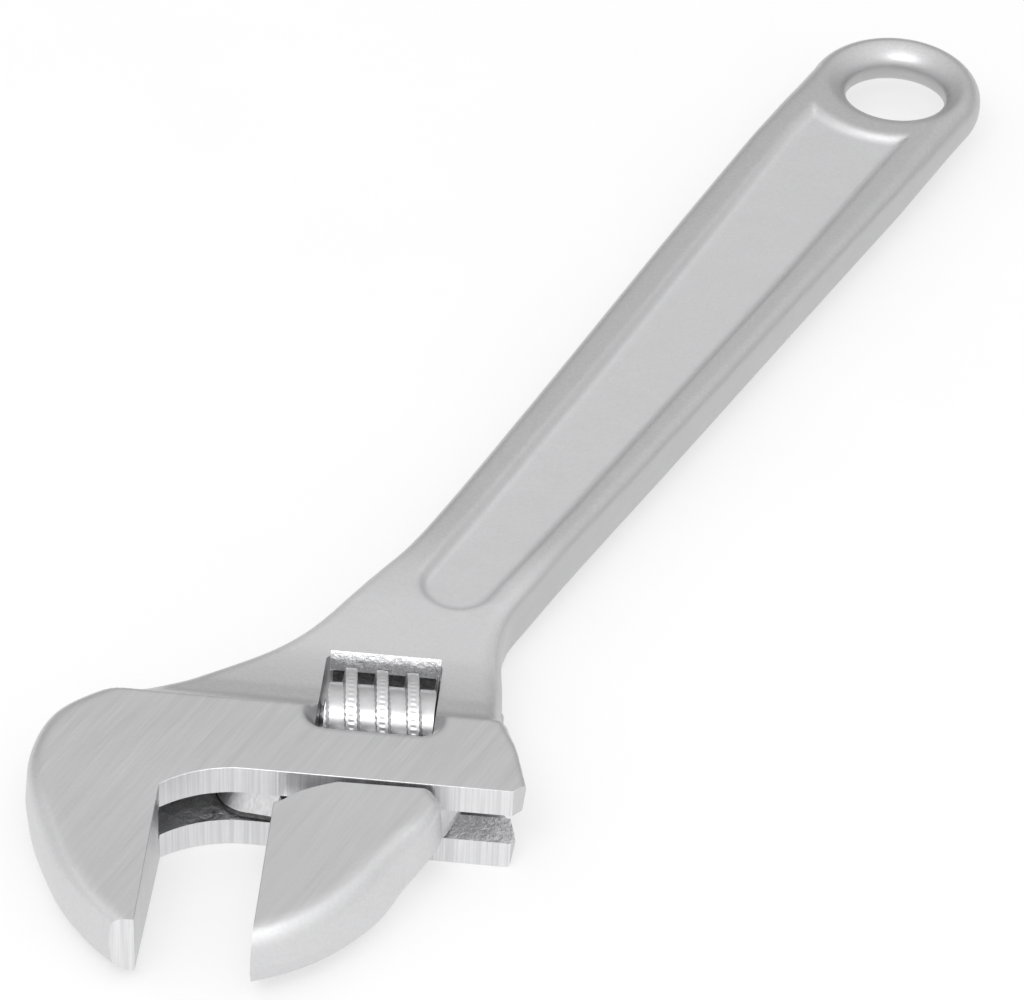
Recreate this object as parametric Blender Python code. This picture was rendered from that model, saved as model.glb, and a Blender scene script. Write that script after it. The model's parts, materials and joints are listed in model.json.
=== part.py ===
"""A 10 inch adjustable wrench: a forged body, a sliding jaw, and a worm on a pin with its spring.

Everything is drawn in the head's own axes, in millimetres: x runs from the fixed jaw to the
sliding jaw, y runs away from the mouth, and z is the thickness. The empty called tool turns
them so that the handle lies along world X and the underside rests at z = 0.
"""

import math

import bmesh
import bpy
from mathutils import Matrix, Vector

MM = 0.001

# The whole tool
HEAD_ANGLE = 24.0  # between the handle's axis and the square of the jaws, degrees
EYE_CENTRE = (100.4, 186.4)
EYE_RADIUS = 15.6
EYE_BORE_RADIUS = 8.0
FIT_GAP = 0.3  # between two pieces that touch or run on each other

# Head
HEAD_HALF = 7.75  # half of the ground thickness
JAW_TIP_HALF = 5.2
JAW_DEPTH = 28.0
LUG_END = 52.0  # the head's end on the sliding jaw's side
THROAT_LENGTH = 10.0
THROAT_DEPTH = 4.0
GROUND_EDGE = 14.4  # where the ground face ends and the forged neck begins
NECK_HALF = 5.3
HANDLE_HALF = 4.2
EYE_HALF = 3.8
PANEL_HALF = 3.0  # half of the web's thickness in the handle's hollow panel
DRAFT = 0.7  # how far the forged sides lean in from the middle to the faces

# Opening of the jaws
REST_OPENING = 16.6

# Slot and round channel for the sliding jaw
SLOT_HALF = 2.82
CHANNEL_RADIUS = 5.1
CHANNEL_Y = 9.3
CHANNEL_START = -10.6
SLOT_CORNERS = ((-10.2, 2.9), (-4.9, -1.9), (0.6, -6.0))  # clear of the web's rounded leading end
ROUND_SEGMENTS = 32

# Window for the worm
WINDOW_LEFT = 20.3
WINDOW_RIGHT = 37.6
WINDOW_NEAR = 10.0
WINDOW_FAR = 28.4
WINDOW_CORNER = 1.2
SCOOP_DEPTH = 1.7  # thumb relief beside the worm

# Worm
WORM_Y = 20.0
WORM_RADIUS = 7.6
WORM_CORE_RADIUS = 5.6
WORM_START = 21.4
WORM_END = 37.3
THREAD_PITCH = 4.56
THREAD_TOP = 29.4  # where a land's middle crosses the worm's upper side
LAND_HALF = 0.88
LAND_FOOT_HALF = 1.0
WORM_SEGMENTS = 28
STATIONS_PER_PITCH = 14
COUNTERBORE_RADIUS = 3.3
COUNTERBORE_DEPTH = 6.6

# Pin and spring
PIN_RADIUS = 1.6
PIN_START = 12.6
PIN_END = 46.0
PIN_HEAD_RADIUS = 2.6
PIN_HEAD_LENGTH = 2.6
PIN_THREAD_PITCH = 0.8
PIN_THREAD_DEPTH = 0.25
SPRING_WIRE_RADIUS = 0.35
SPRING_RADIUS = 2.45
SPRING_TURNS = 4.5
SPRING_STEPS = 14  # points in one turn

# Sliding jaw
WEB_HALF = 2.5
RACK_RADIUS = 4.8
RACK_START = 6.8
RACK_END = 43.0
RACK_FLOOR = 12.0  # y of the bottom of the tooth gaps
TOOTH_GAP_HALF = 1.65
TOOTH_GAP_FOOT_HALF = 1.35

BEYOND = 30.0  # how far cutters run past what they cut


def metres(*values):
    return Vector(values) * MM


def arc(centre, radius, start, end, count):
    """Points of a circle's arc from start to end, in degrees."""
    points = []
    for i in range(count + 1):
        angle = math.radians(start + (end - start) * i / count)
        points.append((centre[0] + radius * math.cos(angle), centre[1] + radius * math.sin(angle)))
    return points


def smooth(points, steps=4):
    """A curve through the points, from the first to the last (Catmull-Rom)."""
    ends = [points[0]] + list(points) + [points[-1]]
    curve = []
    for a, b, c, d in zip(ends, ends[1:], ends[2:], ends[3:]):
        for i in range(steps):
            t = i / steps
            weights = (
                0.5 * (-t + 2 * t**2 - t**3),
                0.5 * (2 - 5 * t**2 + 3 * t**3),
                0.5 * (t + 4 * t**2 - 3 * t**3),
                0.5 * (-(t**2) + t**3),
            )
            curve.append(tuple(sum(w * p[k] for w, p in zip(weights, (a, b, c, d))) for k in (0, 1)))
    curve.append(tuple(points[-1]))
    return curve


def on_handle(along, across):
    """A head-frame point from its place on the handle: along from the eye, across to the right."""
    angle = math.radians(HEAD_ANGLE)
    x = EYE_CENTRE[0] + along * math.sin(angle) + across * math.cos(angle)
    y = EYE_CENTRE[1] + along * math.cos(angle) - across * math.sin(angle)
    return (x, y)


# Building blocks


def add_object(name, bm):
    bmesh.ops.recalc_face_normals(bm, faces=bm.faces)
    mesh = bpy.data.meshes.new(name)
    bm.to_mesh(mesh)
    bm.free()
    obj = bpy.data.objects.new(name, mesh)
    bpy.context.scene.collection.objects.link(obj)
    return obj


def stack(rings):
    """A closed solid skinned over rings of equal length, with flat ends."""
    bm = bmesh.new()
    layers = [[bm.verts.new(metres(*point)) for point in ring] for ring in rings]
    for low, high in zip(layers, layers[1:]):
        for i in range(len(low)):
            j = (i + 1) % len(low)
            bm.faces.new((low[i], low[j], high[j], high[i]))
    bm.faces.new(list(reversed(layers[0])))
    bm.faces.new(layers[-1])
    return bm


def prism_z(outline, low, high):
    return stack([[(x, y, z) for x, y in outline] for z in (low, high)])


def prism_x(outline, low, high):
    """A prism along x from an outline in (y, z)."""
    return stack([[(x, y, z) for y, z in outline] for x in (low, high)])


def turned_x(profile, y, segments=ROUND_SEGMENTS):
    """A solid turned about the line at height z = 0 along x, from (x, radius) points."""
    rings = []
    for x, radius in profile:
        circle = arc((y, 0), radius, 0, 360, segments)[:-1]
        rings.append([(x, a, b) for a, b in circle])
    return stack(rings)


def joined(*blocks):
    """Several separate solids in one mesh."""
    whole = bmesh.new()
    for bm in blocks:
        mesh = bpy.data.meshes.new("block")
        bmesh.ops.recalc_face_normals(bm, faces=bm.faces)
        bm.to_mesh(mesh)
        bm.free()
        whole.from_mesh(mesh)
        bpy.data.meshes.remove(mesh)
    return whole


def combine(obj, operation, name, bm):
    """Adds, cuts or intersects obj with a hidden solid."""
    tool = add_object(name, bm)
    tool.hide_render = True
    tool.display_type = "WIRE"
    modifier = obj.modifiers.new(name, "BOOLEAN")
    modifier.operation = operation
    modifier.object = tool
    modifier.solver = "EXACT"


def finish_piece(obj, material, smooth_angle=30):
    obj.data.materials.append(material)
    obj.data.shade_smooth()
    obj.data.set_sharp_from_angle(angle=math.radians(smooth_angle))


def make_metal(name, colour, roughness):
    material = bpy.data.materials.new(name)
    material.use_nodes = True
    shader = material.node_tree.nodes["Principled BSDF"]
    shader.inputs["Base Color"].default_value = (*colour, 1.0)
    shader.inputs["Metallic"].default_value = 1.0
    shader.inputs["Roughness"].default_value = roughness
    return material


# Outlines


def throat():
    """The rise of the seat towards the fixed jaw, as an arc that is tangent to the seat."""
    radius = (THROAT_LENGTH**2 + THROAT_DEPTH**2) / (2 * THROAT_DEPTH)
    start = math.degrees(math.asin(THROAT_LENGTH / radius))
    return arc((THROAT_LENGTH, -radius), radius, 90 + start, 90, 5)


def body_outline():
    """The forging at mid thickness, from the fixed jaw's tip round by the right side."""
    right = smooth(
        [
            (LUG_END, 1.2),
            (49.2, 8.5),
            (47.3, 15.5),
            (46.6, 26.0),
            on_handle(-158.0, 10.9),
            on_handle(-146.0, 10.2),
            on_handle(-105.0, 11.9),
            on_handle(-60.0, 13.6),
            on_handle(-28.0, 14.3),
            on_handle(-14.0, 14.3),
        ]
    )
    eye = [on_handle(*p) for p in arc((0, 0), EYE_RADIUS, 112, -112, 26)]
    left = smooth(
        [
            on_handle(-14.0, -14.3),
            on_handle(-28.0, -14.3),
            on_handle(-60.0, -13.6),
            on_handle(-105.0, -12.2),
            on_handle(-143.0, -11.4),
            on_handle(-157.0, -12.6),
            (15.3, 33.0),
            (1.5, 22.6),
            (-9.6, 16.2),
            (-16.8, 9.6),
            (-19.0, 1.0),
            (-17.4, -7.0),
            (-12.2, -17.8),
            (-7.6, -23.6),
            (-3.2, -27.4),
        ]
    )
    face = [(-2.6, -JAW_DEPTH), (0.0, -JAW_DEPTH)]
    return face + throat() + [(LUG_END - 1.2, 0.0)] + right + eye + left


def thickness_profile():
    """Half of the forging's side view, in (y, z), from the jaw tips to the eye."""
    return [
        (-JAW_DEPTH - 3, JAW_TIP_HALF - 0.2),
        (-JAW_DEPTH, JAW_TIP_HALF),
        (-2.0, HEAD_HALF),
        (GROUND_EDGE, HEAD_HALF),
        (GROUND_EDGE + 1.0, NECK_HALF + 1.0),
        (GROUND_EDGE + 2.6, NECK_HALF + 0.2),
        (30.0, NECK_HALF),
        (70.0, HANDLE_HALF + 0.3),
        (110.0, HANDLE_HALF),
        (165.0, HANDLE_HALF - 0.2),
        (EYE_CENTRE[1] + EYE_RADIUS + 8, EYE_HALF),
    ]


def mirrored(half):
    return half + [(y, -z) for y, z in reversed(half)]


def leaning_prism(outline, is_forged):
    """A prism whose forged sides lean inwards by DRAFT towards both faces."""
    middle = [Vector(p) for p in outline]
    inset = []
    for i, point in enumerate(middle):
        run = middle[(i + 1) % len(middle)] - middle[i - 1]
        outward = Vector((run.y, -run.x)).normalized()
        inset.append(point - outward * DRAFT if is_forged(point) else point)
    top = HEAD_HALF + 1.0
    rings = [(inset, -top), (middle, -1.0), (middle, 1.0), (inset, top)]
    bm = stack([[(p.x, p.y, z) for p in ring] for ring, z in rings])
    leaning = [face for face in bm.faces if len(face.verts) == 4]
    bmesh.ops.triangulate(bm, faces=leaning)
    return bm


def rounded_rectangle(left, right, near, far, radius):
    points = arc((right - radius, near + radius), radius, -90, 0, 4)
    points += arc((right - radius, far - radius), radius, 0, 90, 4)
    points += arc((left + radius, far - radius), radius, 90, 180, 4)
    points += arc((left + radius, near + radius), radius, 180, 270, 4)
    return points


def panel_outline():
    """The handle's hollow: rounded at the head's end, following the eye at the other."""
    sides = [(-151.0, 5.9), (-100.0, 6.9), (-60.0, 8.0), (-22.0, 9.0)]
    eye_end = arc((0.0, 0.0), EYE_RADIUS, 144, 216, 6)
    head_end = arc((-152.0, 0.0), 5.9, 270, 90, 8)
    points = sides + eye_end + [(s, -w) for s, w in reversed(sides)] + head_end[1:-1]
    return [on_handle(*p) for p in points]


# The pieces


def make_body(material):
    outline = body_outline()
    seat_end = LUG_END - 1.0

    def is_forged(point):
        on_seat = point.y < 0.01 and -0.01 < point.x < seat_end
        return not on_seat and point.y > -JAW_DEPTH + 0.01

    body = add_object("wrench_body", leaning_prism(outline, is_forged))
    side_view = mirrored(thickness_profile())
    combine(body, "INTERSECT", "body_side_view", prism_x(side_view, -60.0, 160.0))
    eye = arc(EYE_CENTRE, EYE_BORE_RADIUS, 0, 360, 40)[:-1]
    combine(body, "DIFFERENCE", "eye_bore", prism_z(eye, -BEYOND, BEYOND))
    panel = panel_outline()
    hollows = [prism_z(panel, PANEL_HALF, BEYOND), prism_z(panel, -BEYOND, -PANEL_HALF)]
    combine(body, "DIFFERENCE", "panel_hollows", joined(*hollows))
    scoop = rounded_rectangle(WINDOW_LEFT - 2.6, WINDOW_RIGHT + 2.2, WINDOW_NEAR - 0.4, GROUND_EDGE + 8, 2.4)
    scoop_floor = HEAD_HALF - SCOOP_DEPTH
    scoops = [prism_z(scoop, scoop_floor, BEYOND), prism_z(scoop, -BEYOND, -scoop_floor)]
    combine(body, "DIFFERENCE", "thumb_scoops", joined(*scoops))
    window = rounded_rectangle(WINDOW_LEFT, WINDOW_RIGHT, WINDOW_NEAR, WINDOW_FAR, WINDOW_CORNER)
    combine(body, "DIFFERENCE", "worm_window", prism_z(window, -BEYOND, BEYOND))
    channel = turned_x([(CHANNEL_START, CHANNEL_RADIUS), (LUG_END + BEYOND, CHANNEL_RADIUS)], CHANNEL_Y)
    combine(body, "DIFFERENCE", "rack_channel", channel)
    slot = [
        (LUG_END + BEYOND, -10.0),
        (LUG_END + BEYOND, CHANNEL_Y),
        (SLOT_CORNERS[0][0], CHANNEL_Y),
        *SLOT_CORNERS,
        (SLOT_CORNERS[-1][0], -10.0),
    ]
    combine(body, "DIFFERENCE", "web_slot", prism_z(slot, -SLOT_HALF, SLOT_HALF))
    bore = PIN_RADIUS + FIT_GAP
    head_bore = PIN_HEAD_RADIUS + FIT_GAP
    head_seat = PIN_END - PIN_HEAD_LENGTH - FIT_GAP
    steps = [(PIN_START - 1.0, bore), (head_seat, bore), (head_seat, head_bore), (LUG_END + BEYOND, head_bore)]
    combine(body, "DIFFERENCE", "pin_bore", turned_x(steps, WORM_Y, 20))
    finish_piece(body, material)
    return body


def jaw_outline():
    """The sliding jaw from above, from the tip of its face round by the throat and the back."""
    face_x = REST_OPENING
    relief = smooth(
        [
            (face_x, -5.8),
            (face_x + 1.3, -5.1),
            (face_x + 3.3, -3.3),
            (face_x + 6.2, -1.6),
            (face_x + 8.6, -0.5),
        ],
        2,
    )
    outer = smooth(
        [
            (38.0, -0.5),
            (39.4, -3.0),
            (38.4, -6.0),
            (36.0, -9.6),
            (31.4, -17.2),
            (26.6, -22.6),
            (21.6, -26.4),
            (face_x + 0.6, -JAW_DEPTH),
        ],
        3,
    )
    return [(face_x, -JAW_DEPTH)] + relief + outer


def web_outline():
    """The web from above: it joins the jaw to the rack, with a rounded leading end."""
    lead = arc((RACK_START + 5.6, 5.4), 5.6, 180, 270, 6)
    return [
        *lead,
        (REST_OPENING - 0.8, -0.6),
        (REST_OPENING, -3.4),
        (38.2, -3.4),
        (40.2, -0.2),
        (RACK_END, 5.4),
        (RACK_END, CHANNEL_Y),
        (RACK_START, CHANNEL_Y),
    ]


def tooth_gaps():
    """Cutters for the gaps between the rack's teeth, in step with the worm's lands."""
    first = THREAD_TOP + THREAD_PITCH / 4
    blocks = []
    for step in range(-6, 5):
        x = first + step * THREAD_PITCH
        if not RACK_START < x < RACK_END + TOOTH_GAP_HALF:
            continue
        gap = [
            (x - TOOTH_GAP_FOOT_HALF, RACK_FLOOR),
            (x + TOOTH_GAP_FOOT_HALF, RACK_FLOOR),
            (x + TOOTH_GAP_HALF, 16.0),
            (x - TOOTH_GAP_HALF, 16.0),
        ]
        blocks.append(prism_z(gap, -BEYOND, BEYOND))
    return joined(*blocks)


def make_jaw(material):
    jaw = add_object("sliding_jaw", prism_z(jaw_outline(), -HEAD_HALF - 1.0, HEAD_HALF + 1.0))
    side_view = mirrored(thickness_profile())
    combine(jaw, "INTERSECT", "jaw_side_view", prism_x(side_view, -60.0, 160.0))
    combine(jaw, "UNION", "jaw_web", prism_z(web_outline(), -WEB_HALF, WEB_HALF))
    ends = [
        (RACK_START, RACK_RADIUS - 0.8),
        (RACK_START + 0.8, RACK_RADIUS),
        (RACK_END - 0.8, RACK_RADIUS),
        (RACK_END, RACK_RADIUS - 0.8),
    ]
    combine(jaw, "UNION", "rack_bar", turned_x(ends, CHANNEL_Y))
    combine(jaw, "DIFFERENCE", "rack_tooth_gaps", tooth_gaps())
    finish_piece(jaw, material)
    return jaw


def thread_radius(x, angle):
    """The worm's radius at a place along it and an angle from +y towards +z, in degrees."""
    land = THREAD_TOP + THREAD_PITCH * (angle - 90.0) / 360.0
    offset = abs((x - land + THREAD_PITCH / 2) % THREAD_PITCH - THREAD_PITCH / 2)
    rise = (LAND_FOOT_HALF + 0.2 - offset) / (LAND_FOOT_HALF + 0.2 - LAND_HALF)
    rise = min(1.0, max(0.0, rise))
    return WORM_CORE_RADIUS + (WORM_RADIUS - WORM_CORE_RADIUS) * rise


def make_worm(material):
    count = round((WORM_END - WORM_START) / THREAD_PITCH * STATIONS_PER_PITCH)
    rings = []
    for i in range(count + 1):
        x = WORM_START + (WORM_END - WORM_START) * i / count
        ring = []
        for k in range(WORM_SEGMENTS):
            angle = 360.0 * k / WORM_SEGMENTS
            radius = thread_radius(x, angle)
            turn = math.radians(angle)
            ring.append((x, WORM_Y + radius * math.cos(turn), radius * math.sin(turn)))
        rings.append(ring)
    worm = add_object("worm_screw", stack(rings))
    bore = PIN_RADIUS + FIT_GAP
    floor = WORM_START + COUNTERBORE_DEPTH
    steps = [
        (WORM_START - 5.0, COUNTERBORE_RADIUS),
        (floor, COUNTERBORE_RADIUS),
        (floor, bore),
        (WORM_END + 5.0, bore),
    ]
    combine(worm, "DIFFERENCE", "worm_bore", turned_x(steps, WORM_Y, 20))
    finish_piece(worm, material)
    return worm


def make_pin(material):
    """The axle screw: a threaded tip, a plain shank and a slotted head."""
    profile = [(PIN_START, PIN_RADIUS - PIN_THREAD_DEPTH)]
    for i in range(7):
        x = PIN_START + PIN_THREAD_PITCH * (i + 0.5)
        profile.append((x, PIN_RADIUS))
        profile.append((x + PIN_THREAD_PITCH / 2, PIN_RADIUS - PIN_THREAD_DEPTH))
    profile.append((profile[-1][0] + 0.5, PIN_RADIUS))
    profile.append((PIN_END - PIN_HEAD_LENGTH, PIN_RADIUS))
    profile.append((PIN_END - PIN_HEAD_LENGTH, PIN_HEAD_RADIUS))
    profile.append((PIN_END, PIN_HEAD_RADIUS))
    pin = add_object("worm_pin", turned_x(profile, WORM_Y, 20))
    slot = [(WORM_Y - 5, -0.45), (WORM_Y + 5, -0.45), (WORM_Y + 5, 0.45), (WORM_Y - 5, 0.45)]
    combine(pin, "DIFFERENCE", "driver_slot", prism_x(slot, PIN_END - 0.9, PIN_END + 5))
    finish_piece(pin, material)
    return pin


def make_spring(material):
    """A coil of round wire about the pin, from the window's wall into the worm's counterbore."""
    first = WINDOW_LEFT + FIT_GAP + SPRING_WIRE_RADIUS
    last = WORM_START + COUNTERBORE_DEPTH - FIT_GAP - SPRING_WIRE_RADIUS
    count = round(SPRING_TURNS * SPRING_STEPS)
    rings = []
    for i in range(count + 1):
        turn = 2 * math.pi * SPRING_TURNS * i / count
        x = first + (last - first) * i / count
        outward = Vector((0.0, math.cos(turn), math.sin(turn)))
        centre = Vector((x, WORM_Y, 0.0)) + outward * SPRING_RADIUS
        ring = []
        for k in range(8):
            side = 2 * math.pi * k / 8
            offset = outward * math.cos(side) + Vector((1.0, 0.0, 0.0)) * math.sin(side)
            ring.append(tuple(centre + offset * SPRING_WIRE_RADIUS))
        rings.append(ring)
    spring = add_object("worm_spring", stack(rings))
    finish_piece(spring, material, 60)
    return spring


def move_origin(obj, point):
    """Puts the object's origin at a head-frame point and leaves its mesh where it is."""
    place = metres(*point)
    obj.data.transform(Matrix.Translation(-place))
    obj.location = place


def stand_on_origin(tool, pieces):
    """Turns the tool into world axes, with the origin under the middle of its box."""
    tool.rotation_euler.z = math.radians(HEAD_ANGLE - 90.0)
    bpy.context.view_layer.update()
    graph = bpy.context.evaluated_depsgraph_get()
    corners = []
    for piece in pieces:
        solid = piece.evaluated_get(graph)
        corners += [solid.matrix_world @ vertex.co for vertex in solid.data.vertices]
    lows = [min(p[axis] for p in corners) for axis in range(3)]
    highs = [max(p[axis] for p in corners) for axis in range(3)]
    tool.location = (-(lows[0] + highs[0]) / 2, -(lows[1] + highs[1]) / 2, -lows[2])


def main():
    for obj in list(bpy.data.objects):
        bpy.data.objects.remove(obj)
    forged = make_metal("satin_chrome", (0.62, 0.62, 0.61), 0.3)
    ground = make_metal("ground_steel", (0.55, 0.55, 0.54), 0.25)
    wire = make_metal("spring_steel", (0.25, 0.25, 0.26), 0.4)
    body = make_body(forged)
    jaw = make_jaw(forged)
    worm = make_worm(ground)
    pin = make_pin(ground)
    spring = make_spring(wire)
    move_origin(jaw, (REST_OPENING, 0.0, 0.0))
    move_origin(worm, (WORM_START, WORM_Y, 0.0))
    tool = bpy.data.objects.new("tool", None)
    bpy.context.scene.collection.objects.link(tool)
    for obj in list(bpy.data.objects):
        if obj is not tool:
            obj.parent = tool
    stand_on_origin(tool, [body, jaw, worm, pin, spring])


main()
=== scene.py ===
"""The looks of the adjustable wrench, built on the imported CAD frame.

Shapes are drawn in the head's own axes, in millimetres: x runs from the fixed jaw to the
sliding jaw, y runs away from the mouth towards the handle, and z is the thickness, with 0 in
the middle. The forged skins are signed distance fields meshed on a fine grid, and the machined
features are cut from them.
"""

import json
import math

import bmesh
import bpy
import numpy as np
import openvdb
from mathutils import Matrix, Vector


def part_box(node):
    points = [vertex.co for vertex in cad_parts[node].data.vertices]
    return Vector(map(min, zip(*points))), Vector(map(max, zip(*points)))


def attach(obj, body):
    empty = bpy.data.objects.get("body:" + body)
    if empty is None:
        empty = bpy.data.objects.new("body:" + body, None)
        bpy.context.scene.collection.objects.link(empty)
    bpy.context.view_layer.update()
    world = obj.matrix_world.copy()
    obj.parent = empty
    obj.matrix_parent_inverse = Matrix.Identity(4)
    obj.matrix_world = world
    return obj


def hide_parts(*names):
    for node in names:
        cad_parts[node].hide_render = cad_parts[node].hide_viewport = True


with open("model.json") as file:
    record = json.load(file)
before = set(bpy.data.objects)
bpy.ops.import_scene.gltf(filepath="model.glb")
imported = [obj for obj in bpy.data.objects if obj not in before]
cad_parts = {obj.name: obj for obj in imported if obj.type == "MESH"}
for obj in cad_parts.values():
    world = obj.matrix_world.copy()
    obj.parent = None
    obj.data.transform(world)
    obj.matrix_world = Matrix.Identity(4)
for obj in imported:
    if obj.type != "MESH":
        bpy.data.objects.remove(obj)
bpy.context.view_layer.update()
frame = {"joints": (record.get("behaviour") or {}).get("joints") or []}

MM = 0.001
VOXEL = 0.4

# The tool's plan, as in the CAD model
HEAD_ANGLE = math.radians(24.0)
EYE = np.array([100.4, 186.4])
RING_CENTRE = EYE + (0.9, 0.1)  # the forging's eye sits a little off the handle's axis
RING_WIDTH = 15.1  # half of the eye's size across the handle
RING_LENGTH = 15.6  # half of its size along the handle
BORE_CENTRE = EYE + (1.2, 0.2)
EYE_BORE = 8.6
TIP = 28.9  # the fixed jaw ends a little past the CAD model's tip
GROUND_EDGE = 14.4  # where the ground face ends, above the neck
THROAT_RADIUS = 18.5  # of the curve from the fixed jaw's face to the seat
THROAT_LENGTH = 12.0
REST_OPENING = 16.6
WINDOW = (20.3, 37.6, 10.0, 28.4)  # left, right, near and far
SLOT_HALF = 2.82  # half of the web's slot through the thickness
SLOT_NEAR = -6.0  # the slot's edge in the fixed jaw
CHANNEL_Y = 9.3
CHANNEL_RADIUS = 5.1
CHANNEL_END = -10.6
RACK_START = 6.8
RACK_END = 43.0
RACK_RADIUS = 4.8
WORM_START = 21.4
WORM_END = 37.3
WORM_Y = 20.0
WORM_CORE = 5.25
LAND_HEIGHT = 2.25
WORM_BORE = 1.9
COUNTERBORE = 3.3
COUNTERBORE_DEPTH = 6.6
THREAD_PITCH = 4.56
THREAD_TOP = 29.4  # where a land crosses the top of the worm
BEADS = 58  # on each turn of a land
PIN_START = 12.6
PIN_END = 47.3
PIN_RADIUS = 1.6
PIN_ROOT = 1.35
PIN_STEP = 0.8  # between the rings of the pin's thread
PIN_HEAD = 2.6
SPRING_START = 20.95
SPRING_END = 27.35
SPRING_TURNS = 4.5
SPRING_RADIUS = 2.45
WIRE_RADIUS = 0.35
FAR = 60.0  # an end for cutters, well outside the head
THROUGH = 30.0  # a height for cutters, well outside the thickness


# Frame of the head


def head_matrix():
    """Head-frame millimetres to row-frame metres, from the worm's joint."""
    worm = next(j for j in frame["joints"] if j["name"] == "worm_turn")
    x_axis = Vector(worm["axis"]).normalized()
    z_axis = Vector((0, 0, 1))
    y_axis = z_axis.cross(x_axis)
    origin = Vector(worm["pos_m"]) - (x_axis * WORM_START + y_axis * WORM_Y) * MM
    turn = Matrix((x_axis, y_axis, z_axis)).transposed().to_4x4()
    return Matrix.Translation(origin) @ turn @ Matrix.Scale(MM, 4)


HEAD = head_matrix()
HEAD_ARRAY = np.array(HEAD)
HEAD_INVERSE = np.array(HEAD.inverted())
HEAD_TURN = math.atan2(HEAD_ARRAY[1, 0], HEAD_ARRAY[0, 0])


def to_row(points):
    return points @ HEAD_ARRAY[:3, :3].T + HEAD_ARRAY[:3, 3]


def to_head(points):
    return points @ HEAD_INVERSE[:3, :3].T + HEAD_INVERSE[:3, 3]


# Outlines


def arc(centre, radius, start, end, count):
    angles = np.radians(np.linspace(start, end, count + 1))
    return [(centre[0] + radius * math.cos(a), centre[1] + radius * math.sin(a)) for a in angles]


def smooth(points, steps=8):
    """A curve through the points, from the first to the last (Catmull-Rom)."""
    ends = np.array([points[0], *points, points[-1]], float)
    curve = []
    for a, b, c, d in zip(ends, ends[1:], ends[2:], ends[3:]):
        square = 2 * a - 5 * b + 4 * c - d
        cube = 3 * b - a - 3 * c + d
        for t in np.arange(steps) / steps:
            curve.append(0.5 * (2 * b + (c - a) * t + square * t**2 + cube * t**3))
    curve.append(ends[-1])
    return [tuple(p) for p in curve]


def on_handle(along, across):
    """A place on the handle: along from the eye, across to the right."""
    x = EYE[0] + along * math.sin(HEAD_ANGLE) + across * math.cos(HEAD_ANGLE)
    y = EYE[1] + along * math.cos(HEAD_ANGLE) - across * math.sin(HEAD_ANGLE)
    return (x, y)


def throat(count=24):
    """The curve from the fixed jaw's face up to the seat."""
    start = math.degrees(math.asin(THROAT_LENGTH / THROAT_RADIUS))
    return arc((THROAT_LENGTH, -THROAT_RADIUS), THROAT_RADIUS, 90 + start, 90, count)


def forged_outline():
    """The forging's silhouette, run on past the machined faces so that no rounding meets them."""
    right = smooth(
        [
            (52.8, -7.0),
            (52.1, -3.0),
            (51.3, 1.2),
            (49.4, 8.5),
            (47.9, 14.6),
            (46.7, 26.0),
            on_handle(-158.0, 10.9),
            on_handle(-146.0, 10.2),
            on_handle(-105.0, 11.9),
            on_handle(-60.0, 13.6),
            on_handle(-28.0, 14.9),
            on_handle(-14.0, 15.4),
        ]
    )
    ring = arc((0, 0), 1.0, 96, -96, 60)
    shift = RING_CENTRE - EYE
    eye = [np.array(on_handle(RING_LENGTH * a, RING_WIDTH * b)) + shift for a, b in ring]
    left = smooth(
        [
            on_handle(-14.0, -14.5),
            on_handle(-28.0, -14.3),
            on_handle(-60.0, -13.6),
            on_handle(-105.0, -12.2),
            on_handle(-143.0, -11.4),
            on_handle(-157.0, -12.6),
            (15.3, 33.0),
            (1.5, 22.6),
            (-9.8, 16.5),
            (-17.5, 9.9),
            (-19.9, 1.0),
            (-18.4, -7.2),
            (-13.2, -18.4),
            (-8.7, -24.3),
            (-4.5, -28.2),
            (0.5, -32.0),
            (8.0, -36.0),
        ]
    )
    return [(10.0, -36.0), (10.0, -7.0)] + right + eye + left


def panel_outline():
    """The handle's hollow: rounded at the head's end, following the eye at the other."""
    right = [(-152.0, 6.2), (-100.0, 7.7), (-60.0, 8.9), (-22.0, 9.5)]
    eye_end = arc((0.0, 0.6), 15.6, 144, 216, 24)
    left = [(-22.0, -9.0), (-60.0, -8.0), (-100.0, -6.9), (-152.0, -6.2)]
    head_end = arc((-153.0, 0.0), 6.2, 270, 90, 24)
    points = right + eye_end + left + head_end[1:-1]
    return [on_handle(*p) for p in points]


def jaw_forged_outline():
    """The sliding jaw's silhouette, run on past its face and its back."""
    outer = smooth(
        [
            (35.4, 5.4),
            (37.4, 2.2),
            (39.5, -0.7),
            (40.6, -3.0),
            (39.5, -6.6),
            (36.9, -11.2),
            (32.9, -18.6),
            (28.0, -24.6),
            (22.6, -28.9),
            (16.6, -31.9),
            (12.0, -33.6),
            (8.0, -34.6),
        ]
    )
    return outer + [(8.0, 5.4)]


def rounded_rectangle(left, right, near, far, radius, count=6):
    points = arc((right - radius, near + radius), radius, -90, 0, count)
    points += arc((right - radius, far - radius), radius, 0, 90, count)
    points += arc((left + radius, far - radius), radius, 90, 180, count)
    points += arc((left + radius, near + radius), radius, 180, 270, count)
    return points


def ground_profile():
    """Half of the side view of the ground faces, in (y, z): the jaws taper to their tips."""
    taper = smooth(
        [
            (-40.0, 4.03),
            (-28.0, 5.2),
            (-16.0, 6.38),
            (-7.0, 7.24),
            (-1.0, 7.66),
            (5.0, 7.75),
            (9.0, 7.75),
        ]
    )
    return taper + [(60.0, 7.75)]


# Signed distance fields, in millimetres


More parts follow.
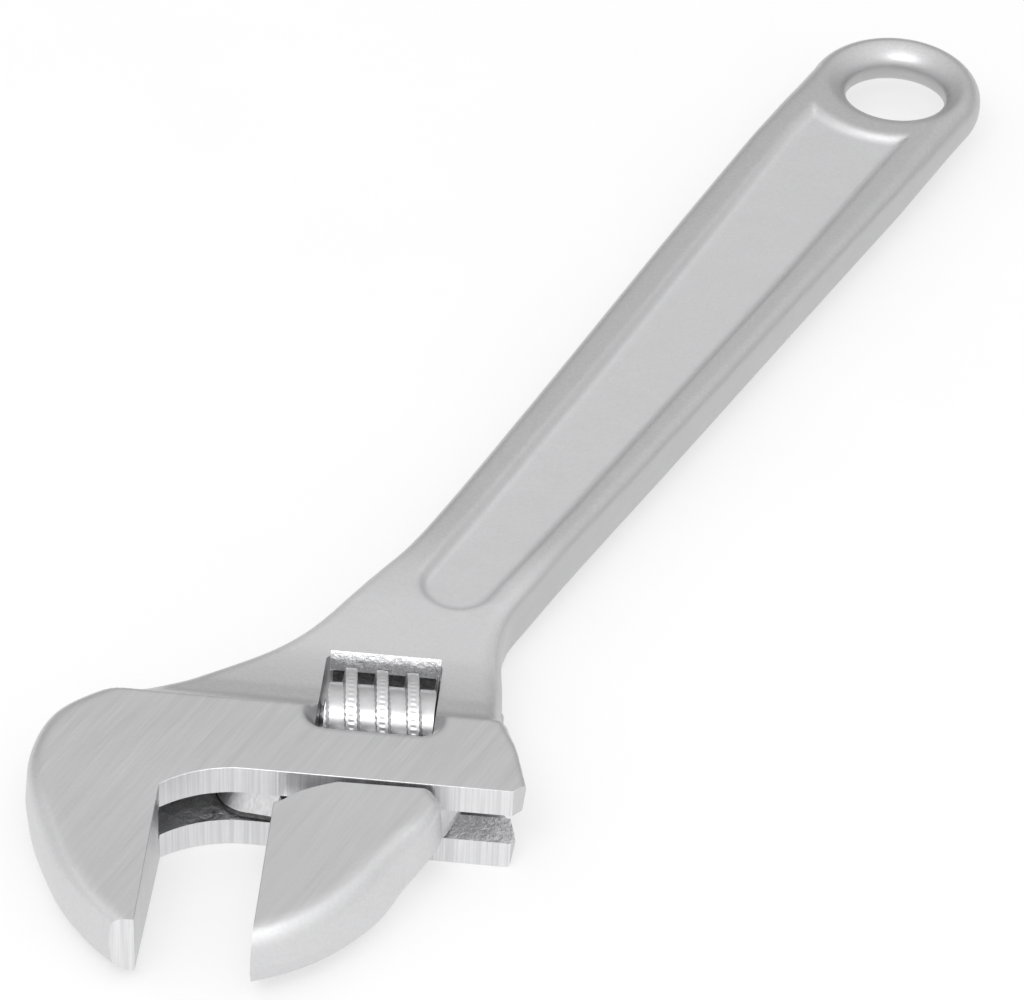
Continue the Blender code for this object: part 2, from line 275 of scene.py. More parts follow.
def plan_distance(x, y, outline):
    """Distance to an outline in plan, negative inside."""
    best = np.full(x.shape, np.inf)
    inside = np.zeros(x.shape, bool)
    ends = np.array(outline, float)
    for (ax, ay), (bx, by) in zip(ends, np.roll(ends, -1, axis=0)):
        ex, ey = bx - ax, by - ay
        length = ex * ex + ey * ey
        if length < 1e-12:
            continue
        t = np.clip(((x - ax) * ex + (y - ay) * ey) / length, 0, 1)
        best = np.minimum(best, (x - ax - t * ex) ** 2 + (y - ay - t * ey) ** 2)
        if ay != by:
            crosses = ((ay > y) != (by > y)) & (x < ex * (y - ay) / ey + ax)
            inside ^= crosses
    return np.where(inside, -1.0, 1.0) * np.sqrt(best)


def soft_step(value, low, high):
    """0 up to low and 1 from high on, with an eased rise between them."""
    t = np.clip((value - low) / (high - low), 0, 1)
    return t * t * (3 - 2 * t)


def softened(value, points, blur):
    """A curve through (place, height) points with its corners rounded over blur."""
    places = np.arange(-80.0, 260.0, 0.1)
    heights = np.interp(places, [p[0] for p in points], [p[1] for p in points])
    reach = int(blur * 30)
    kernel = np.exp(-0.5 * (np.arange(-reach, reach + 1) / (blur * 10)) ** 2)
    padded = np.pad(heights, reach, mode="edge")
    return np.interp(value, places, np.convolve(padded, kernel / kernel.sum(), mode="valid"))


def rounded_corner(a, b, radius):
    """The intersection of two fields with its edge rounded to radius."""
    outside = np.hypot(np.maximum(a + radius, 0), np.maximum(b + radius, 0))
    return np.minimum(-radius, np.maximum(a, b)) + outside


def add_object(name, bm):
    mesh = bpy.data.meshes.new(name)
    bm.to_mesh(mesh)
    bm.free()
    obj = bpy.data.objects.new(name, mesh)
    bpy.context.scene.collection.objects.link(obj)
    return obj


def skinned(name, points, quads):
    """A closed object from row-frame points and faces, with its faces turned outwards."""
    mesh = bpy.data.meshes.new("skin")
    mesh.from_pydata(points.tolist(), [], quads.tolist())
    bm = bmesh.new()
    bm.from_mesh(mesh)
    bpy.data.meshes.remove(mesh)
    bmesh.ops.recalc_face_normals(bm, faces=bm.faces)
    if bm.calc_volume(signed=True) < 0:
        bmesh.ops.reverse_faces(bm, faces=bm.faces)
    return add_object(name, bm)


def forge(name, box, fields):
    """Meshes a forging over a box in row-frame millimetres.

    fields gives, for places in plan, the distance to the outline, the half height, the radius
    of the edge, the draft of both sides and the tilt of the whole side.
    """
    low = np.array(box[0]) - 3 * VOXEL
    counts = np.ceil((np.array(box[1]) - low) / VOXEL + 3).astype(int)
    xs, ys, zs = (low[k] + VOXEL * np.arange(counts[k]) for k in range(3))
    gx, gy = np.meshgrid(xs, ys, indexing="ij")
    flat = np.stack([gx.ravel(), gy.ravel(), np.zeros(gx.size)], 1) * MM
    head = to_head(flat)
    hx, hy = head[:, 0].reshape(gx.shape), head[:, 1].reshape(gx.shape)
    plan, height, radius, draft, tilt = (field[:, :, None] for field in fields(hx, hy))
    level = (zs - HEAD_ARRAY[2, 3] / MM)[None, None, :]
    side = plan + draft * np.abs(level) - tilt * level
    values = rounded_corner(side, np.abs(level) - height, radius)
    grid = openvdb.FloatGrid(3.0)
    grid.copyFromArray(np.clip(values, -3, 3).astype(np.float32))
    points, quads = grid.convertToQuads(0.0)
    points = (low + points * VOXEL) * MM
    return skinned(name, points, quads)


def body_fields(x, y):
    silhouette = plan_distance(x, y, forged_outline())
    along = (x - EYE[0]) * math.sin(HEAD_ANGLE) + (y - EYE[1]) * math.cos(HEAD_ANGLE)
    from_bore = np.hypot(x - BORE_CENTRE[0], y - BORE_CENTRE[1]) - EYE_BORE
    plan = np.maximum(silhouette, -from_bore)
    # The ground faces end in a crease, and the neck falls away behind it.
    head = np.interp(y, *np.array(ground_profile()).T)
    neck = [
        (13.9, 8.6),
        (14.5, 7.6),
        (15.6, 6.2),
        (17.6, 5.2),
        (21, 4.75),
        (29, 4.65),
        (42, 5.05),
        (70, 4.55),
        (110, 4.3),
        (165, 4.1),
        (210, 3.9),
    ]
    height = np.minimum(head, softened(y, neck, 0.3))
    # The thumb scoops slope down from the ground face to the window all round it.
    left, right, near, _ = WINDOW
    bowl = rounded_rectangle(left - 2.4, right + 2.3, near - 0.8, 60.0, 4.4, 12)
    scoop = plan_distance(x, y, bowl)
    slope = 4.9 + (8.0 - 4.9) * soft_step(scoop, -3.2, 0.25)
    height = np.where(y < 24, np.minimum(height, slope), height)
    # The hollow panel, with sloped walls, and the crowned rims beside it.
    panel = plan_distance(x, y, panel_outline())
    height = height - np.interp(along, [-60, -18], [1.45, 1.0]) * soft_step(-panel, -0.3, 1.7)
    on_rims = soft_step(y, 40, 60) * soft_step(-along, 8, 20)
    height = height - 0.018 * on_rims * np.maximum(0, panel - 1.6) ** 2
    # Round the eye the ring swells outwards and slopes in to the bore.
    height = height - 1.0 * soft_step(-from_bore, -4.4, 0.0)
    left_edge = [(-80, 1.3), (-28, 1.3), (-20, 2.8), (-12, 3.2), (2, 2.4), (14, 2.4), (30, 2.0)]
    right_edge = [(-80, 0.9), (9, 0.9), (17, 3.2), (32, 3.4), (48, 2.2)]
    head_edge = np.where(x > 25, softened(y, right_edge, 1.0), softened(y, left_edge, 2.0))
    handle_edge = np.interp(along, [-150, -25, -8], [1.9, 1.9, 3.2])
    blend = soft_step(y, 34, 60)
    radius = head_edge * (1 - blend) + handle_edge * blend
    draft = 0.08 - 0.06 * soft_step(x, 10, 30) * (1 - blend)
    lug = soft_step(x, 36, 46) * (1 - soft_step(y, 9, 24))
    return plan, height, np.minimum(radius, height - 0.4), draft, 0.14 * lug


def jaw_fields(x, y):
    plan = plan_distance(x, y, jaw_forged_outline())
    height = np.interp(y, *np.array(ground_profile()).T)
    even = np.zeros(x.shape)
    radius = softened(y, [(-60, 2.7), (-9, 2.7), (-4, 1.6), (10, 1.6)], 1.0)
    return plan, height, radius, even + 0.27, 0.2 * soft_step(y, -16, -6)


# Crisp solids


def stack(rings):
    """A closed solid skinned over rings of equal length, with flat ends."""
    bm = bmesh.new()
    layers = [[bm.verts.new(point) for point in ring] for ring in rings]
    for low, high in zip(layers, layers[1:]):
        for i in range(len(low)):
            j = (i + 1) % len(low)
            bm.faces.new((low[i], low[j], high[j], high[i]))
    bm.faces.new(list(reversed(layers[0])))
    bm.faces.new(layers[-1])
    bm.transform(HEAD)
    bmesh.ops.recalc_face_normals(bm, faces=bm.faces)
    return bm


def prism_z(outline, low=-THROUGH, high=THROUGH):
    return stack([[(x, y, z) for x, y in outline] for z in (low, high)])


def offset(points, distance):
    """An open line of points moved to its left, with its corners kept."""
    line = np.array(points, float)
    runs = np.diff(line, axis=0)
    runs = runs / np.hypot(runs[:, 0], runs[:, 1])[:, None]
    sides = np.stack([-runs[:, 1], runs[:, 0]], 1)
    before, after = np.vstack([sides[:1], sides]), np.vstack([sides, sides[-1:]])
    corner = before + after
    return line + distance * 2 * corner / (corner**2).sum(1)[:, None]


def eased_cutter(wall, rest, ease):
    """Cuts along a wall, rolling its edges at the ground faces to a radius of ease.

    wall is the open line of the wall in plan, with what stays on its left, and rest closes it.
    """
    half = np.interp([p[1] for p in wall], *np.array(ground_profile()).T)
    turns = np.radians(np.linspace(0, 90, 6))
    roll = [(ease * (1 - math.cos(a)), ease * math.sin(a)) for a in turns]
    roll.append((1.6 * ease, ease + 1.5))
    rings = []
    for sign, steps in ((-1, reversed(roll)), (1, roll)):
        for out, rise in steps:
            levels = sign * (half - ease + rise)
            ring = [(x, y, z) for (x, y), z in zip(offset(wall, out), levels)]
            rings.append(ring + [(x, y, levels[-1]) for x, y in rest])
    return stack(rings)


def prism_x(outline, low, high):
    return stack([[(x, y, z) for y, z in outline] for x in (low, high)])


def turned_x(profile, y, segments=64):
    rings = []
    for x, radius in profile:
        circle = arc((y, 0), radius, 0, 360, segments)[:-1]
        rings.append([(x, a, b) for a, b in circle])
    return stack(rings)


def combine(obj, operation, *blocks):
    """Applies one Boolean with each block in turn."""
    for bm in blocks:
        tool = add_object("tool", bm)
        modifier = obj.modifiers.new("cut", "BOOLEAN")
        modifier.operation = operation
        modifier.object = tool
        modifier.solver = "MANIFOLD"
        graph = bpy.context.evaluated_depsgraph_get()
        mesh = bpy.data.meshes.new_from_object(obj.evaluated_get(graph))
        obj.modifiers.clear()
        old = obj.data
        obj.data = mesh
        bpy.data.meshes.remove(old)
        bpy.data.objects.remove(tool)


def finish_piece(obj, body, materials, replaced, angle=32):
    obj.data.materials.clear()
    for material in materials:
        obj.data.materials.append(material)
    obj.data.shade_smooth()
    obj.data.set_sharp_from_angle(angle=math.radians(angle))
    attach(obj, body)
    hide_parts(replaced)


def face_table(obj):
    """Centres in head millimetres and normals in head axes of every face."""
    count = len(obj.data.polygons)
    centres = np.empty(count * 3, np.float32)
    normals = np.empty(count * 3, np.float32)
    obj.data.polygons.foreach_get("center", centres)
    obj.data.polygons.foreach_get("normal", normals)
    centres = to_head(centres.reshape(-1, 3).astype(float))
    normals = normals.reshape(-1, 3) @ (HEAD_ARRAY[:3, :3] / MM)
    return centres, normals


def mark_finish(obj):
    """Marks the points that are ground, the smoother ones (hollow, neck, jaws) and the upright
    sides of the neck and handle. From these marks the sides and the jaws' ground faces get painted
    shade.
    """
    count = len(obj.data.vertices)
    points = np.empty(count * 3, np.float32)
    obj.data.vertices.foreach_get("co", points)
    x, y, z = to_head(points.reshape(-1, 3).astype(float)).T
    depth = np.abs(z) - np.interp(y, *np.array(ground_profile()).T)
    ground = soft_step(depth, -0.5, -0.06) * (y < GROUND_EDGE + 0.1)
    panel = plan_distance(x, y, panel_outline())
    neck = soft_step(y, 20, 32) * (1 - soft_step(y, 44, 62))
    low = np.maximum(1 - soft_step(panel, -1.2, 0.4), neck * (np.abs(z) > 3.6))
    low = np.maximum(low, 0.8 * soft_step(-y, -4, 12))
    normals = np.empty(count * 3, np.float32)
    obj.data.vertex_normals.foreach_get("vector", normals)
    # painted shade: the upright faces of the neck and handle are marked to be darkened
    side = soft_step(-np.abs(normals[2::3]), -0.85, -0.4) * soft_step(y, 14, 26)
    for name, values in (("ground", ground), ("low", low), ("side", side)):
        layer = obj.data.attributes.new(name, "FLOAT", "POINT")
        layer.data.foreach_set("value", values.astype(np.float32))


def paint(obj, choices):
    """Gives each face the material number of the last choice that holds for it."""
    numbers = np.zeros(len(obj.data.polygons), np.int32)
    for number, chosen in choices:
        numbers[chosen] = number
    obj.data.polygons.foreach_set("material_index", numbers)
    obj.data.update()


# Materials


class Graph:
    """A short way to write a material's nodes."""

    def __init__(self, name):
        self.material = bpy.data.materials.new(name)
        self.material.use_nodes = True
        self.tree = self.material.node_tree
        self.shader = self.tree.nodes["Principled BSDF"]
        self.place = self.add("ShaderNodeTexCoord").outputs["Object"]

    def add(self, kind, **settings):
        node = self.tree.nodes.new(kind)
        for key, value in settings.items():
            setattr(node, key, value)
        return node

    def link(self, value, socket):
        if isinstance(value, bpy.types.NodeSocket):
            self.tree.links.new(value, socket)
        else:
            socket.default_value = value

    def mapped(self, scale, turn=0.0):
        """Object coordinates turned into head axes, then by turn, and scaled per millimetre."""
        node = self.add("ShaderNodeMapping", vector_type="TEXTURE")
        self.link(self.place, node.inputs["Vector"])
        node.inputs["Rotation"].default_value = (0, 0, HEAD_TURN + turn)
        node.inputs["Scale"].default_value = tuple(MM * s for s in scale)
        return node.outputs["Vector"]

    def noise(self, vector, scale=1.0, detail=3.0, roughness=0.55, distortion=0.0):
        node = self.add("ShaderNodeTexNoise")
        self.link(vector, node.inputs["Vector"])
        node.inputs["Scale"].default_value = scale
        node.inputs["Detail"].default_value = detail
        node.inputs["Roughness"].default_value = roughness
        node.inputs["Distortion"].default_value = distortion
        return node.outputs["Fac"]

    def spread(self, value, low, high, start=0.3, end=0.7):
        node = self.add("ShaderNodeMapRange")
        self.link(value, node.inputs["Value"])
        ends = {"From Min": start, "From Max": end, "To Min": low, "To Max": high}
        for key, number in ends.items():
            node.inputs[key].default_value = number
        return node.outputs["Result"]

    def mask(self, name):
        return self.add("ShaderNodeAttribute", attribute_name=name).outputs["Fac"]

    def math(self, operation, a, b):
        node = self.add("ShaderNodeMath", operation=operation)
        self.link(a, node.inputs[0])
        self.link(b, node.inputs[1])
        return node.outputs[0]

    def blend(self, factor, low, high):
        node = self.add("ShaderNodeMix", data_type="RGBA")
        self.link(factor, node.inputs[0])
        for colour, socket in ((low, node.inputs[6]), (high, node.inputs[7])):
            linked = isinstance(colour, bpy.types.NodeSocket)
            self.link(colour if linked else (*colour, 1.0), socket)
        return node.outputs[2]

    def bump(self, height, depth, normal=None):
        """depth is the height of a full step of the pattern, in millimetres."""
        node = self.add("ShaderNodeBump")
        node.inputs["Strength"].default_value = 1.0
        node.inputs["Distance"].default_value = depth * MM
        self.link(height, node.inputs["Height"])
        if normal is not None:
            self.link(normal, node.inputs["Normal"])
        return node.outputs["Normal"]

    def finish(self, colour, roughness, normal):
        self.shader.inputs["Metallic"].default_value = 1.0
        self.link(colour, self.shader.inputs["Base Color"])
        self.link(roughness, self.shader.inputs["Roughness"])
        self.link(normal, self.shader.inputs["Normal"])
        return self.material


def grey(level):
    """The chrome's colour at a level: a very slightly cool grey."""
    return (level, level, level * 1.012)


def satin_chrome():
    """Satin chrome: blasted where it was forged, with slanting lines where it was ground."""
    g = Graph("satin_chrome")
    ground, low = g.mask("ground"), g.mask("low")
    grain = g.noise(g.mapped((0.5, 0.5, 0.5)), detail=3)
    broad = g.noise(g.mapped((7, 7, 7)), detail=2)
    lines = g.noise(g.mapped((18.0, 1.1, 30.0), math.radians(64)), detail=3, distortion=0.2)
    fine = g.noise(g.mapped((8.0, 0.35, 30.0), math.radians(66)), detail=2)
    uneven = g.noise(g.mapped((5, 5, 5)), detail=2)
    normal = g.bump(g.math("MULTIPLY", broad, g.math("SUBTRACT", 1.0, ground)), 0.09)
    normal = g.bump(g.math("MULTIPLY", lines, ground), 0.075, normal)
    normal = g.bump(g.math("MULTIPLY", fine, ground), 0.012, normal)
    normal = g.bump(grain, 0.02, normal)
    blasted = g.blend(g.spread(grain, 0, 1), grey(0.57), grey(0.63))
    smooth_low = g.blend(g.spread(grain, 0, 1), grey(0.69), grey(0.73))
    streaks = g.math("ADD", g.math("MULTIPLY", lines, 0.6), g.math("MULTIPLY", fine, 0.4))
    polished = g.blend(g.spread(streaks, 0, 1), grey(0.59), grey(0.685))
    # painted shade: the ground faces of the jaws darken towards their tips, against the brighter
    # sky that their taper reflects
    polished = g.blend(g.math("MULTIPLY", low, 0.5), polished, grey(0.5))
    # painted shade: the upright sides of the neck and handle are turned a darker grey
    forged = g.blend(g.mask("side"), g.blend(low, blasted, smooth_low), grey(0.52))
    colour = g.blend(ground, forged, polished)
    forged_low = g.math("MULTIPLY", low, g.math("SUBTRACT", 1.0, ground))
    roughness = g.math("ADD", g.spread(uneven, 0.36, 0.42), g.math("MULTIPLY", forged_low, 0.18))
    return g.finish(colour, roughness, normal)


def broached_steel():
    """A broached face: bright, with uneven lines across the thickness."""
    g = Graph("broached_steel")
    lines = g.noise(g.mapped((0.34, 0.34, 24.0)), detail=2)
    patches = g.noise(g.mapped((2.6, 2.6, 3.0)), detail=3)
    normal = g.bump(lines, 0.035)
    shade = g.math("MULTIPLY", g.spread(lines, 0.4, 1, 0.35, 0.65), g.spread(patches, 0.8, 1))
    colour = g.blend(shade, grey(0.60), grey(0.84))
    return g.finish(colour, g.spread(patches, 0.34, 0.44), normal)


def rough_wall(name, dark, light):
    """The walls of the window and the slot: blotchy, with plating run into the corners. Its
    near-black copy is painted shade.
    """
    g = Graph(name)
    blotch = g.noise(g.mapped((0.9, 0.9, 0.9)), detail=4, roughness=0.65)
    normal = g.bump(blotch, 0.3)
    colour = g.blend(g.spread(blotch, 0, 1), grey(dark), grey(light))
    return g.finish(colour, g.spread(blotch, 0.26, 0.42), normal)


def turned_steel():
    """Turned and plated steel: faint rings along the axis."""
    g = Graph("turned_steel")
    rings = g.noise(g.mapped((0.12, 30.0, 30.0)), detail=2)
    patches = g.noise(g.mapped((1.6, 1.6, 1.6)), detail=3)
    normal = g.bump(rings, 0.006)
    normal = g.bump(patches, 0.02, normal)
    colour = g.blend(g.spread(patches, 0, 1), grey(0.58), grey(0.68))
    return g.finish(colour, g.spread(patches, 0.3, 0.4), normal)


def spring_wire():
    g = Graph("spring_wire")
    marks = g.noise(g.mapped((0.25, 0.25, 0.25)), detail=3)
    normal = g.bump(marks, 0.01)
    colour = g.blend(g.spread(marks, 0, 1), (0.16, 0.16, 0.165), (0.30, 0.30, 0.30))
    return g.finish(colour, g.spread(marks, 0.3, 0.5), normal)


CHROME = satin_chrome()
BROACHED = broached_steel()
WALL = rough_wall("rough_wall", 0.74, 0.98)
PAINTED_SHADE_WALL = rough_wall("painted_shade_wall", 0.05, 0.16)  # painted shade: a near-black copy of the wall, for places that other parts shade
TURNED = turned_steel()
WIRE = spring_wire()


# The pieces


def cut_mouth(body):
    wall = [(0.0, y) for y in (-FAR, -28.0, -20.0, -12.0)]
    wall += throat() + [(50.3, 0.0), (51.9, 1.6), (59.7, 9.4)]
    combine(body, "DIFFERENCE", eased_cutter(wall, [(90.0, 9.4), (90.0, -FAR)], 0.16))
    tip = [(-40.0, -FAR), (20.0, -FAR), (20.0, -TIP), (-40.0, -TIP)]
    combine(body, "DIFFERENCE", prism_z(tip))


def cut_window(body):
    """The worm's window, with a rounded lip at the handle's end of each face."""
    left, right, _, far = WINDOW
    combine(body, "DIFFERENCE", prism_z(rounded_rectangle(*WINDOW, 1.2)))
    lip = [(-2, 1.4), (0, 1.6), (0.2, 3.3), (0.5, 4.2), (1.0, 4.7), (2, 5.3), (-2, 9)]
    for sign in (1, -1):
        profile = [(far + y, sign * z) for y, z in lip]
        combine(body, "DIFFERENCE", prism_x(profile, left + 0.5, right - 0.3))


def cut_channel(body):
    """The rack's round channel, the web's slot in front of it and the pin's bore."""
    tube = [(CHANNEL_END, CHANNEL_RADIUS), (90.0, CHANNEL_RADIUS)]
    combine(body, "DIFFERENCE", turned_x(tube, CHANNEL_Y))
    near = [(-10.2, 2.9), (-4.9, -1.9), (0.6, SLOT_NEAR), (0.6, -10.0)]
    slot = [(90.0, -10.0), (90.0, CHANNEL_Y), (-10.2, CHANNEL_Y)] + near
    combine(body, "DIFFERENCE", prism_z(slot, -SLOT_HALF, SLOT_HALF))
    steps = [(11.6, 1.9), (43.1, 1.9), (43.1, 2.66), (90.0, 2.66)]
    combine(body, "DIFFERENCE", turned_x(steps, WORM_Y))


def body_choices(body):
    """The faces that aren't chrome, by the number of their material."""
    centres, normals = face_table(body)
    x, y, z = centres.T
    nx, ny, nz = normals.T
    level = np.abs(z)
    left, right, near, far = WINDOW
    run = np.clip(THROAT_LENGTH - x, 0, THROAT_RADIUS - 0.5)
    seat = np.sqrt(THROAT_RADIUS**2 - run**2) - THROAT_RADIUS
    in_mouth = (ny < -0.5) & (np.abs(y - seat) < 0.06) & (x > 0) & (level > 2.8)
    at_tip = ny * (y < -TIP + 0.05) < -0.98
    in_window = (x > left - 0.1) & (x < right + 0.1) & (y > near - 0.1) & (y < far + 1.0)
    in_window &= (np.abs(nz) < 0.9) & (level < 5.3)
    # painted shade: the middle band of the window's far wall, behind the worm, gets the near-black
    # wall
    painted_window_shade = in_window & (level < 0.8) & (y > far - 0.1)
    in_slot = (level < SLOT_HALF + 0.01) & (x > -10.5) & (y < CHANNEL_Y) & (y > SLOT_NEAR - 0.1)
    fixed_face = (nx > 0.98) & (np.abs(x) < 0.02)
    in_slot &= ((np.abs(nz) > 0.9) | (x < 1.0)) & ~fixed_face
    plated = (in_window & (level > 0.8)) | in_slot
    return [(1, in_mouth | at_tip), (2, plated), (3, painted_window_shade)]


def make_body():
    low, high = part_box("wrench_body")
    margin = np.array((1, 2, 0))
    box = (np.array(low) / MM - margin, np.array(high) / MM + margin)
    body = forge("wrench_forging", box, body_fields)
    cut_mouth(body)
    cut_window(body)
    cut_channel(body)
    choices = body_choices(body)
    materials = [CHROME, BROACHED, WALL, PAINTED_SHADE_WALL]
    finish_piece(body, "frame", materials, "wrench_body")
    paint(body, choices)
    mark_finish(body)


def cut_rack(jaw):
    first = THREAD_TOP + THREAD_PITCH / 4
    for step in range(-6, 5):
        x = first + step * THREAD_PITCH
        if RACK_START < x < RACK_END + 1.6:
            gap = [(x - 1.35, 12.0), (x + 1.35, 12.0), (x + 1.65, 16.0), (x - 1.65, 16.0)]
            combine(jaw, "DIFFERENCE", prism_z(gap))


def jaw_choices(jaw):
    """The faces that aren't chrome, by the number of their material."""
    centres, normals = face_table(jaw)
    x, y, z = centres.T
    nx, ny, nz = normals.T
    level = np.abs(z)
    face_side = (nx < -0.98) & (np.abs(x - REST_OPENING) < 0.02)
    back = (ny > 0.45) & (y > -6) & (np.abs(nz) < 0.3) & (level > 2.5) & (x < 25.4)
    rack = y > CHANNEL_Y - RACK_RADIUS - 0.1
    machined = (y > -0.4) & ((level < 2.52) | rack)
    nose = machined & (x < 16.0) & (y < CHANNEL_Y - RACK_RADIUS - 0.1)
    # painted shade: a strip low on the web's nose gets the near-black wall
    band = nose & (z < -0.95) & (np.abs(nz) < 0.6)
    return [(2, machined), (1, face_side | back | nose), (3, band)]


def make_jaw():
    low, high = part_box("sliding_jaw")
    margin = np.array((12, 12, 0))
    box = (np.array(low) / MM - margin, np.array(high) / MM + margin)
    jaw = forge("jaw_forging", box, jaw_fields)
    steps = [(0.0, -5.8), (1.3, -5.1), (3.3, -3.4), (6.2, -1.9), (8.6, -0.9)]
    relief = smooth([(REST_OPENING + x, y) for x, y in steps])
    face = [(REST_OPENING, y) for y in (-12.0, -20.0, -28.0, -FAR)]
    wall = [(FAR, -0.7), (38.6, -0.7)] + relief[::-1] + face
    rest = [(-20.0, -FAR), (-20.0, THROUGH), (FAR, THROUGH)]
    combine(jaw, "DIFFERENCE", eased_cutter(wall, rest, 0.15))
    combine(jaw, "UNION", web_block())
    bevel = RACK_RADIUS - 0.8
    rack = [(RACK_START, bevel), (RACK_START + 0.8, RACK_RADIUS)]
    rack += [(RACK_END - 0.8, RACK_RADIUS), (RACK_END, bevel)]
    combine(jaw, "UNION", turned_x(rack, CHANNEL_Y))
    cut_rack(jaw)
    choices = jaw_choices(jaw)
    materials = [CHROME, BROACHED, TURNED, PAINTED_SHADE_WALL]
    finish_piece(jaw, "jaw", materials, "sliding_jaw")
    paint(jaw, choices)
    mark_finish(jaw)


def web_block():
    """The web under the jaw: its front slopes back towards the top, over an upright band."""
    lead = arc((RACK_START + 5.6, 5.4), 5.6, 180, 270, 16)
    under = [(15.8, -0.6), (16.6, -3.4), (39.0, -3.4), (41.0, -0.2), (RACK_END, 5.4)]
    rings = []
    for inset, z in [(0.4, -2.3), (0.0, -1.9), (0.0, -1.0), (0.15, -0.7), (1.3, 2.25)]:
        ring = [(x, y, z) for x, y in offset(lead + under, inset)]
        rings.append(ring + [(RACK_END, CHANNEL_Y, z), (RACK_START, CHANNEL_Y, z)])
    return stack(rings)


def worm_radius(x, angle):
    """The worm's skin: rounded grooves, and lands with a strip of fine beads on their middle."""
    land = THREAD_TOP + THREAD_PITCH * (angle - 90.0) / 360.0
    away = np.abs((x - land + THREAD_PITCH / 2) % THREAD_PITCH - THREAD_PITCH / 2)
    rise = soft_step(-away, -1.12, -0.84)
    beads = 0.5 + 0.5 * np.cos(np.radians(angle) * BEADS)
    strip = soft_step(-away, -0.5, -0.26)
    land_skin = 0.06 * (1 - beads) * strip + 0.05 * rise * (1 - strip)
    return WORM_CORE + LAND_HEIGHT * rise - land_skin


def make_worm():
    around = BEADS * 8
    angles = np.arange(around) * 360.0 / around
    rings = [(x, worm_radius(x, angles)) for x in np.linspace(WORM_START, WORM_END, 140)]
    step = WORM_START + COUNTERBORE_DEPTH
    bore = [(WORM_END, WORM_BORE), (step, WORM_BORE), (step, COUNTERBORE)]
    rings += bore + [(WORM_START, COUNTERBORE)]
    turn = np.radians(angles)
    points = []
    for x, radius in rings:
        y, z = WORM_Y + radius * np.cos(turn), radius * np.sin(turn)
        points.append(np.stack([np.full(around, x), y, z], 1))
    points = to_row(np.concatenate(points))
    i, k = np.meshgrid(np.arange(len(rings)), np.arange(around), indexing="ij")
    here, there = i * around, (i + 1) % len(rings) * around
    after = (k + 1) % around
    quads = np.stack([here + k, there + k, there + after, here + after], -1).reshape(-1, 4)
    worm = skinned("knurled_worm", points, quads)
    finish_piece(worm, "worm", [TURNED], "worm_screw", 50)


def make_pin():
    """The axle screw: rings for its thread, a plain shank and a slotted head."""
    profile = [(PIN_START, PIN_ROOT)]
    for i in range(7):
        x = PIN_START + PIN_STEP * (i + 0.5)
        profile += [(x, PIN_RADIUS), (x + PIN_STEP / 2, PIN_ROOT)]
    profile += [(profile[-1][0] + 0.5, PIN_RADIUS), (43.4, PIN_RADIUS)]
    profile += [(43.4, PIN_HEAD - 0.25), (43.65, PIN_HEAD)]
    profile += [(PIN_END - 0.2, PIN_HEAD), (PIN_END, PIN_HEAD - 0.2)]
    pin = add_object("pin_screw", turned_x(profile, WORM_Y, 48))
    slot = [(15.0, -0.45), (25.0, -0.45), (25.0, 0.45), (15.0, 0.45)]
    combine(pin, "DIFFERENCE", prism_x(slot, PIN_END - 0.9, 50.0))
    finish_piece(pin, "frame", [TURNED], "worm_pin")


def make_spring():
    count = 160
    along = np.array([1.0, 0.0, 0.0])
    rings = []
    for i in range(count + 1):
        turn = 2 * math.pi * SPRING_TURNS * i / count
        outward = np.array([0.0, math.cos(turn), math.sin(turn)])
        x = SPRING_START + (SPRING_END - SPRING_START) * i / count
        centre = np.array([x, WORM_Y, 0.0]) + SPRING_RADIUS * outward
        ring = []
        for k in range(12):
            side = 2 * math.pi * k / 12
            way = outward * math.cos(side) + along * math.sin(side)
            ring.append(tuple(centre + WIRE_RADIUS * way))
        rings.append(ring)
    spring = add_object("spring_coil", stack(rings))
    finish_piece(spring, "frame", [WIRE], "worm_spring", 60)


make_body()
make_jaw()
make_worm()
make_pin()
make_spring()


# Floor, light and camera

FLOOR_GLOW = 0.54  # its own light, which keeps the shadows faint
WORLD_LEVEL = 0.64
WORLD_SLOPE = (0.04, -0.24, 0.45)  # the way in which the world gets brighter, in head axes


def make_floor():
    bm = bmesh.new()
    bmesh.ops.create_grid(bm, x_segments=1, y_segments=1, size=3.0)
    floor = add_object("floor", bm)
    g = Graph("pale_floor")
    g.shader.inputs["Roughness"].default_value = 0.9
    patches = g.noise(g.mapped((40, 40, 40)), detail=2)
    colour = g.blend(patches, (0.39, 0.39, 0.39), (0.41, 0.41, 0.41))
    g.link(colour, g.shader.inputs["Base Color"])
    g.shader.inputs["Emission Color"].default_value = (1, 1, 1, 1)
    g.shader.inputs["Emission Strength"].default_value = FLOOR_GLOW
    floor.data.materials.append(g.material)


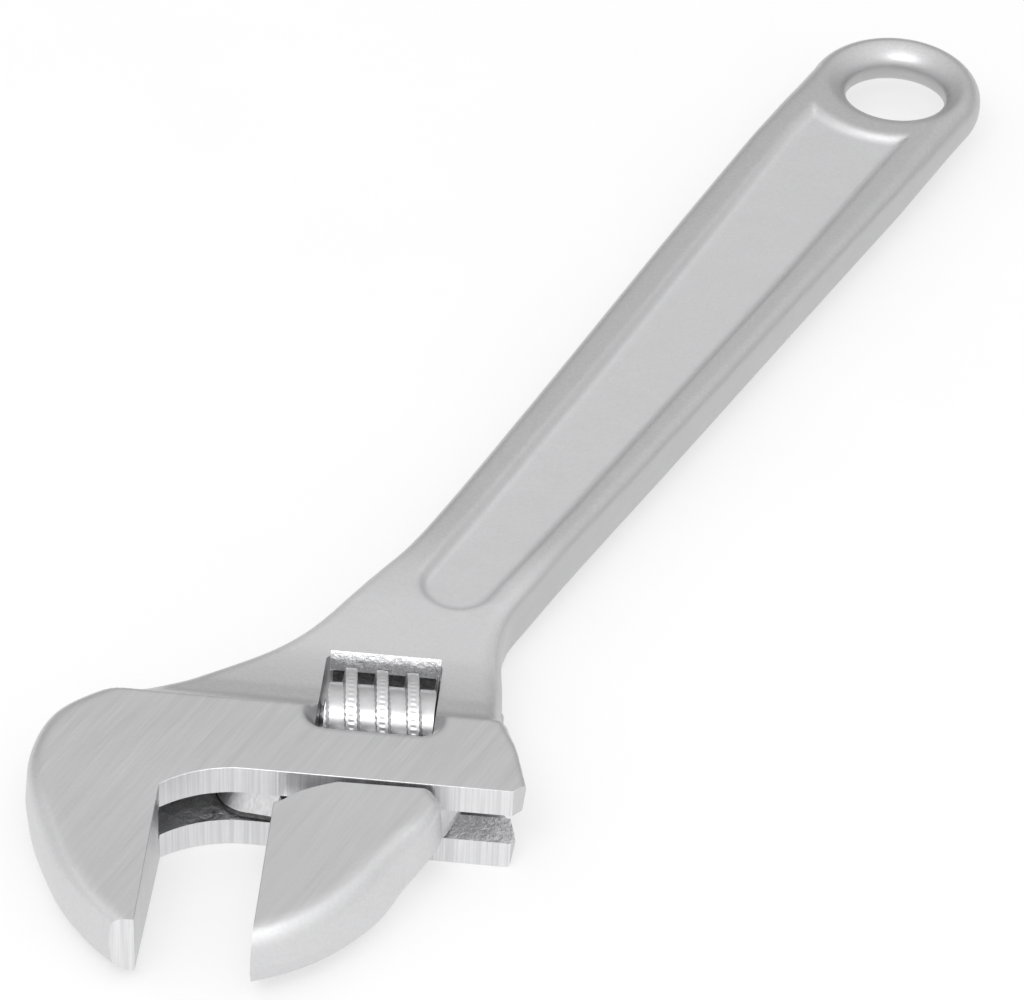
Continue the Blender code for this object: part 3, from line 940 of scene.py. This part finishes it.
def make_camera():
    """A long lens looking down at 41 degrees over the mouth of the jaws."""
    azimuth, elevation, roll = -0.0507, 0.7162, 0.052
    place = np.array([-50.1724, -43.1356, 648.363])
    ahead = np.array([math.sin(azimuth), math.cos(azimuth), 0.0])
    forward = ahead * math.cos(elevation) - np.array([0.0, 0.0, math.sin(elevation)])
    level = np.array([math.cos(azimuth), -math.sin(azimuth), 0.0])
    upright = np.cross(level, forward)
    right = level * math.cos(roll) + upright * math.sin(roll)
    up = upright * math.cos(roll) - level * math.sin(roll)
    centre = -(place[0] * right + place[1] * up + place[2] * forward)
    data = bpy.data.cameras.new("camera")
    data.lens = 158.2
    data.sensor_width = 36.0
    data.clip_start = 0.05
    camera = bpy.data.objects.new("camera", data)
    turn = HEAD_ARRAY[:3, :3] / MM
    axes = [Vector(turn @ axis) for axis in (right, up, -forward)]
    spin = Matrix(axes).transposed().to_4x4()
    camera.matrix_world = Matrix.Translation(Vector(to_row(centre))) @ spin
    bpy.context.scene.collection.objects.link(camera)
    bpy.context.scene.camera = camera


def make_light(name, place, target, size, power):
    data = bpy.data.lights.new(name, "AREA")
    data.shape = "RECTANGLE"
    data.size, data.size_y = size
    data.energy = power
    lamp = bpy.data.objects.new(name, data)
    lamp.location = place
    lamp.rotation_euler = (Vector(target) - Vector(place)).to_track_quat("-Z", "Y").to_euler()
    bpy.context.scene.collection.objects.link(lamp)


def make_world():
    """A soft tent of light: brightest overhead and in front of the mouth."""
    world = bpy.data.worlds.new("studio")
    bpy.context.scene.world = world
    world.use_nodes = True
    tree = world.node_tree
    background = tree.nodes["Background"]
    place = tree.nodes.new("ShaderNodeTexCoord")
    slope = tree.nodes.new("ShaderNodeVectorMath")
    slope.operation = "DOT_PRODUCT"
    turn = HEAD_ARRAY[:3, :3] / MM
    slope.inputs[1].default_value = tuple(turn @ np.array(WORLD_SLOPE))
    total = tree.nodes.new("ShaderNodeMath")
    total.inputs[1].default_value = WORLD_LEVEL
    tree.links.new(place.outputs["Generated"], slope.inputs[0])
    tree.links.new(slope.outputs["Value"], total.inputs[0])
    tree.links.new(total.outputs[0], background.inputs["Strength"])
    background.inputs["Color"].default_value = (1, 1, 1, 1)


def lamp_place(azimuth, elevation, distance):
    """A place round the head: azimuth 0 is in front of the mouth and 90 beyond the sliding jaw."""
    a, e = math.radians(azimuth), math.radians(elevation)
    way = np.array([math.sin(a) * math.cos(e), -math.cos(a) * math.cos(e), math.sin(e)])
    return Vector(HEAD_ARRAY[:3, :3] @ way / MM * distance)


make_floor()
make_camera()
make_world()
bpy.context.scene.view_settings.view_transform = "Standard"
make_light("key_softbox", lamp_place(-8, 56, 1.2), (0, 0, 0.01), (0.8, 0.4), 3.6)
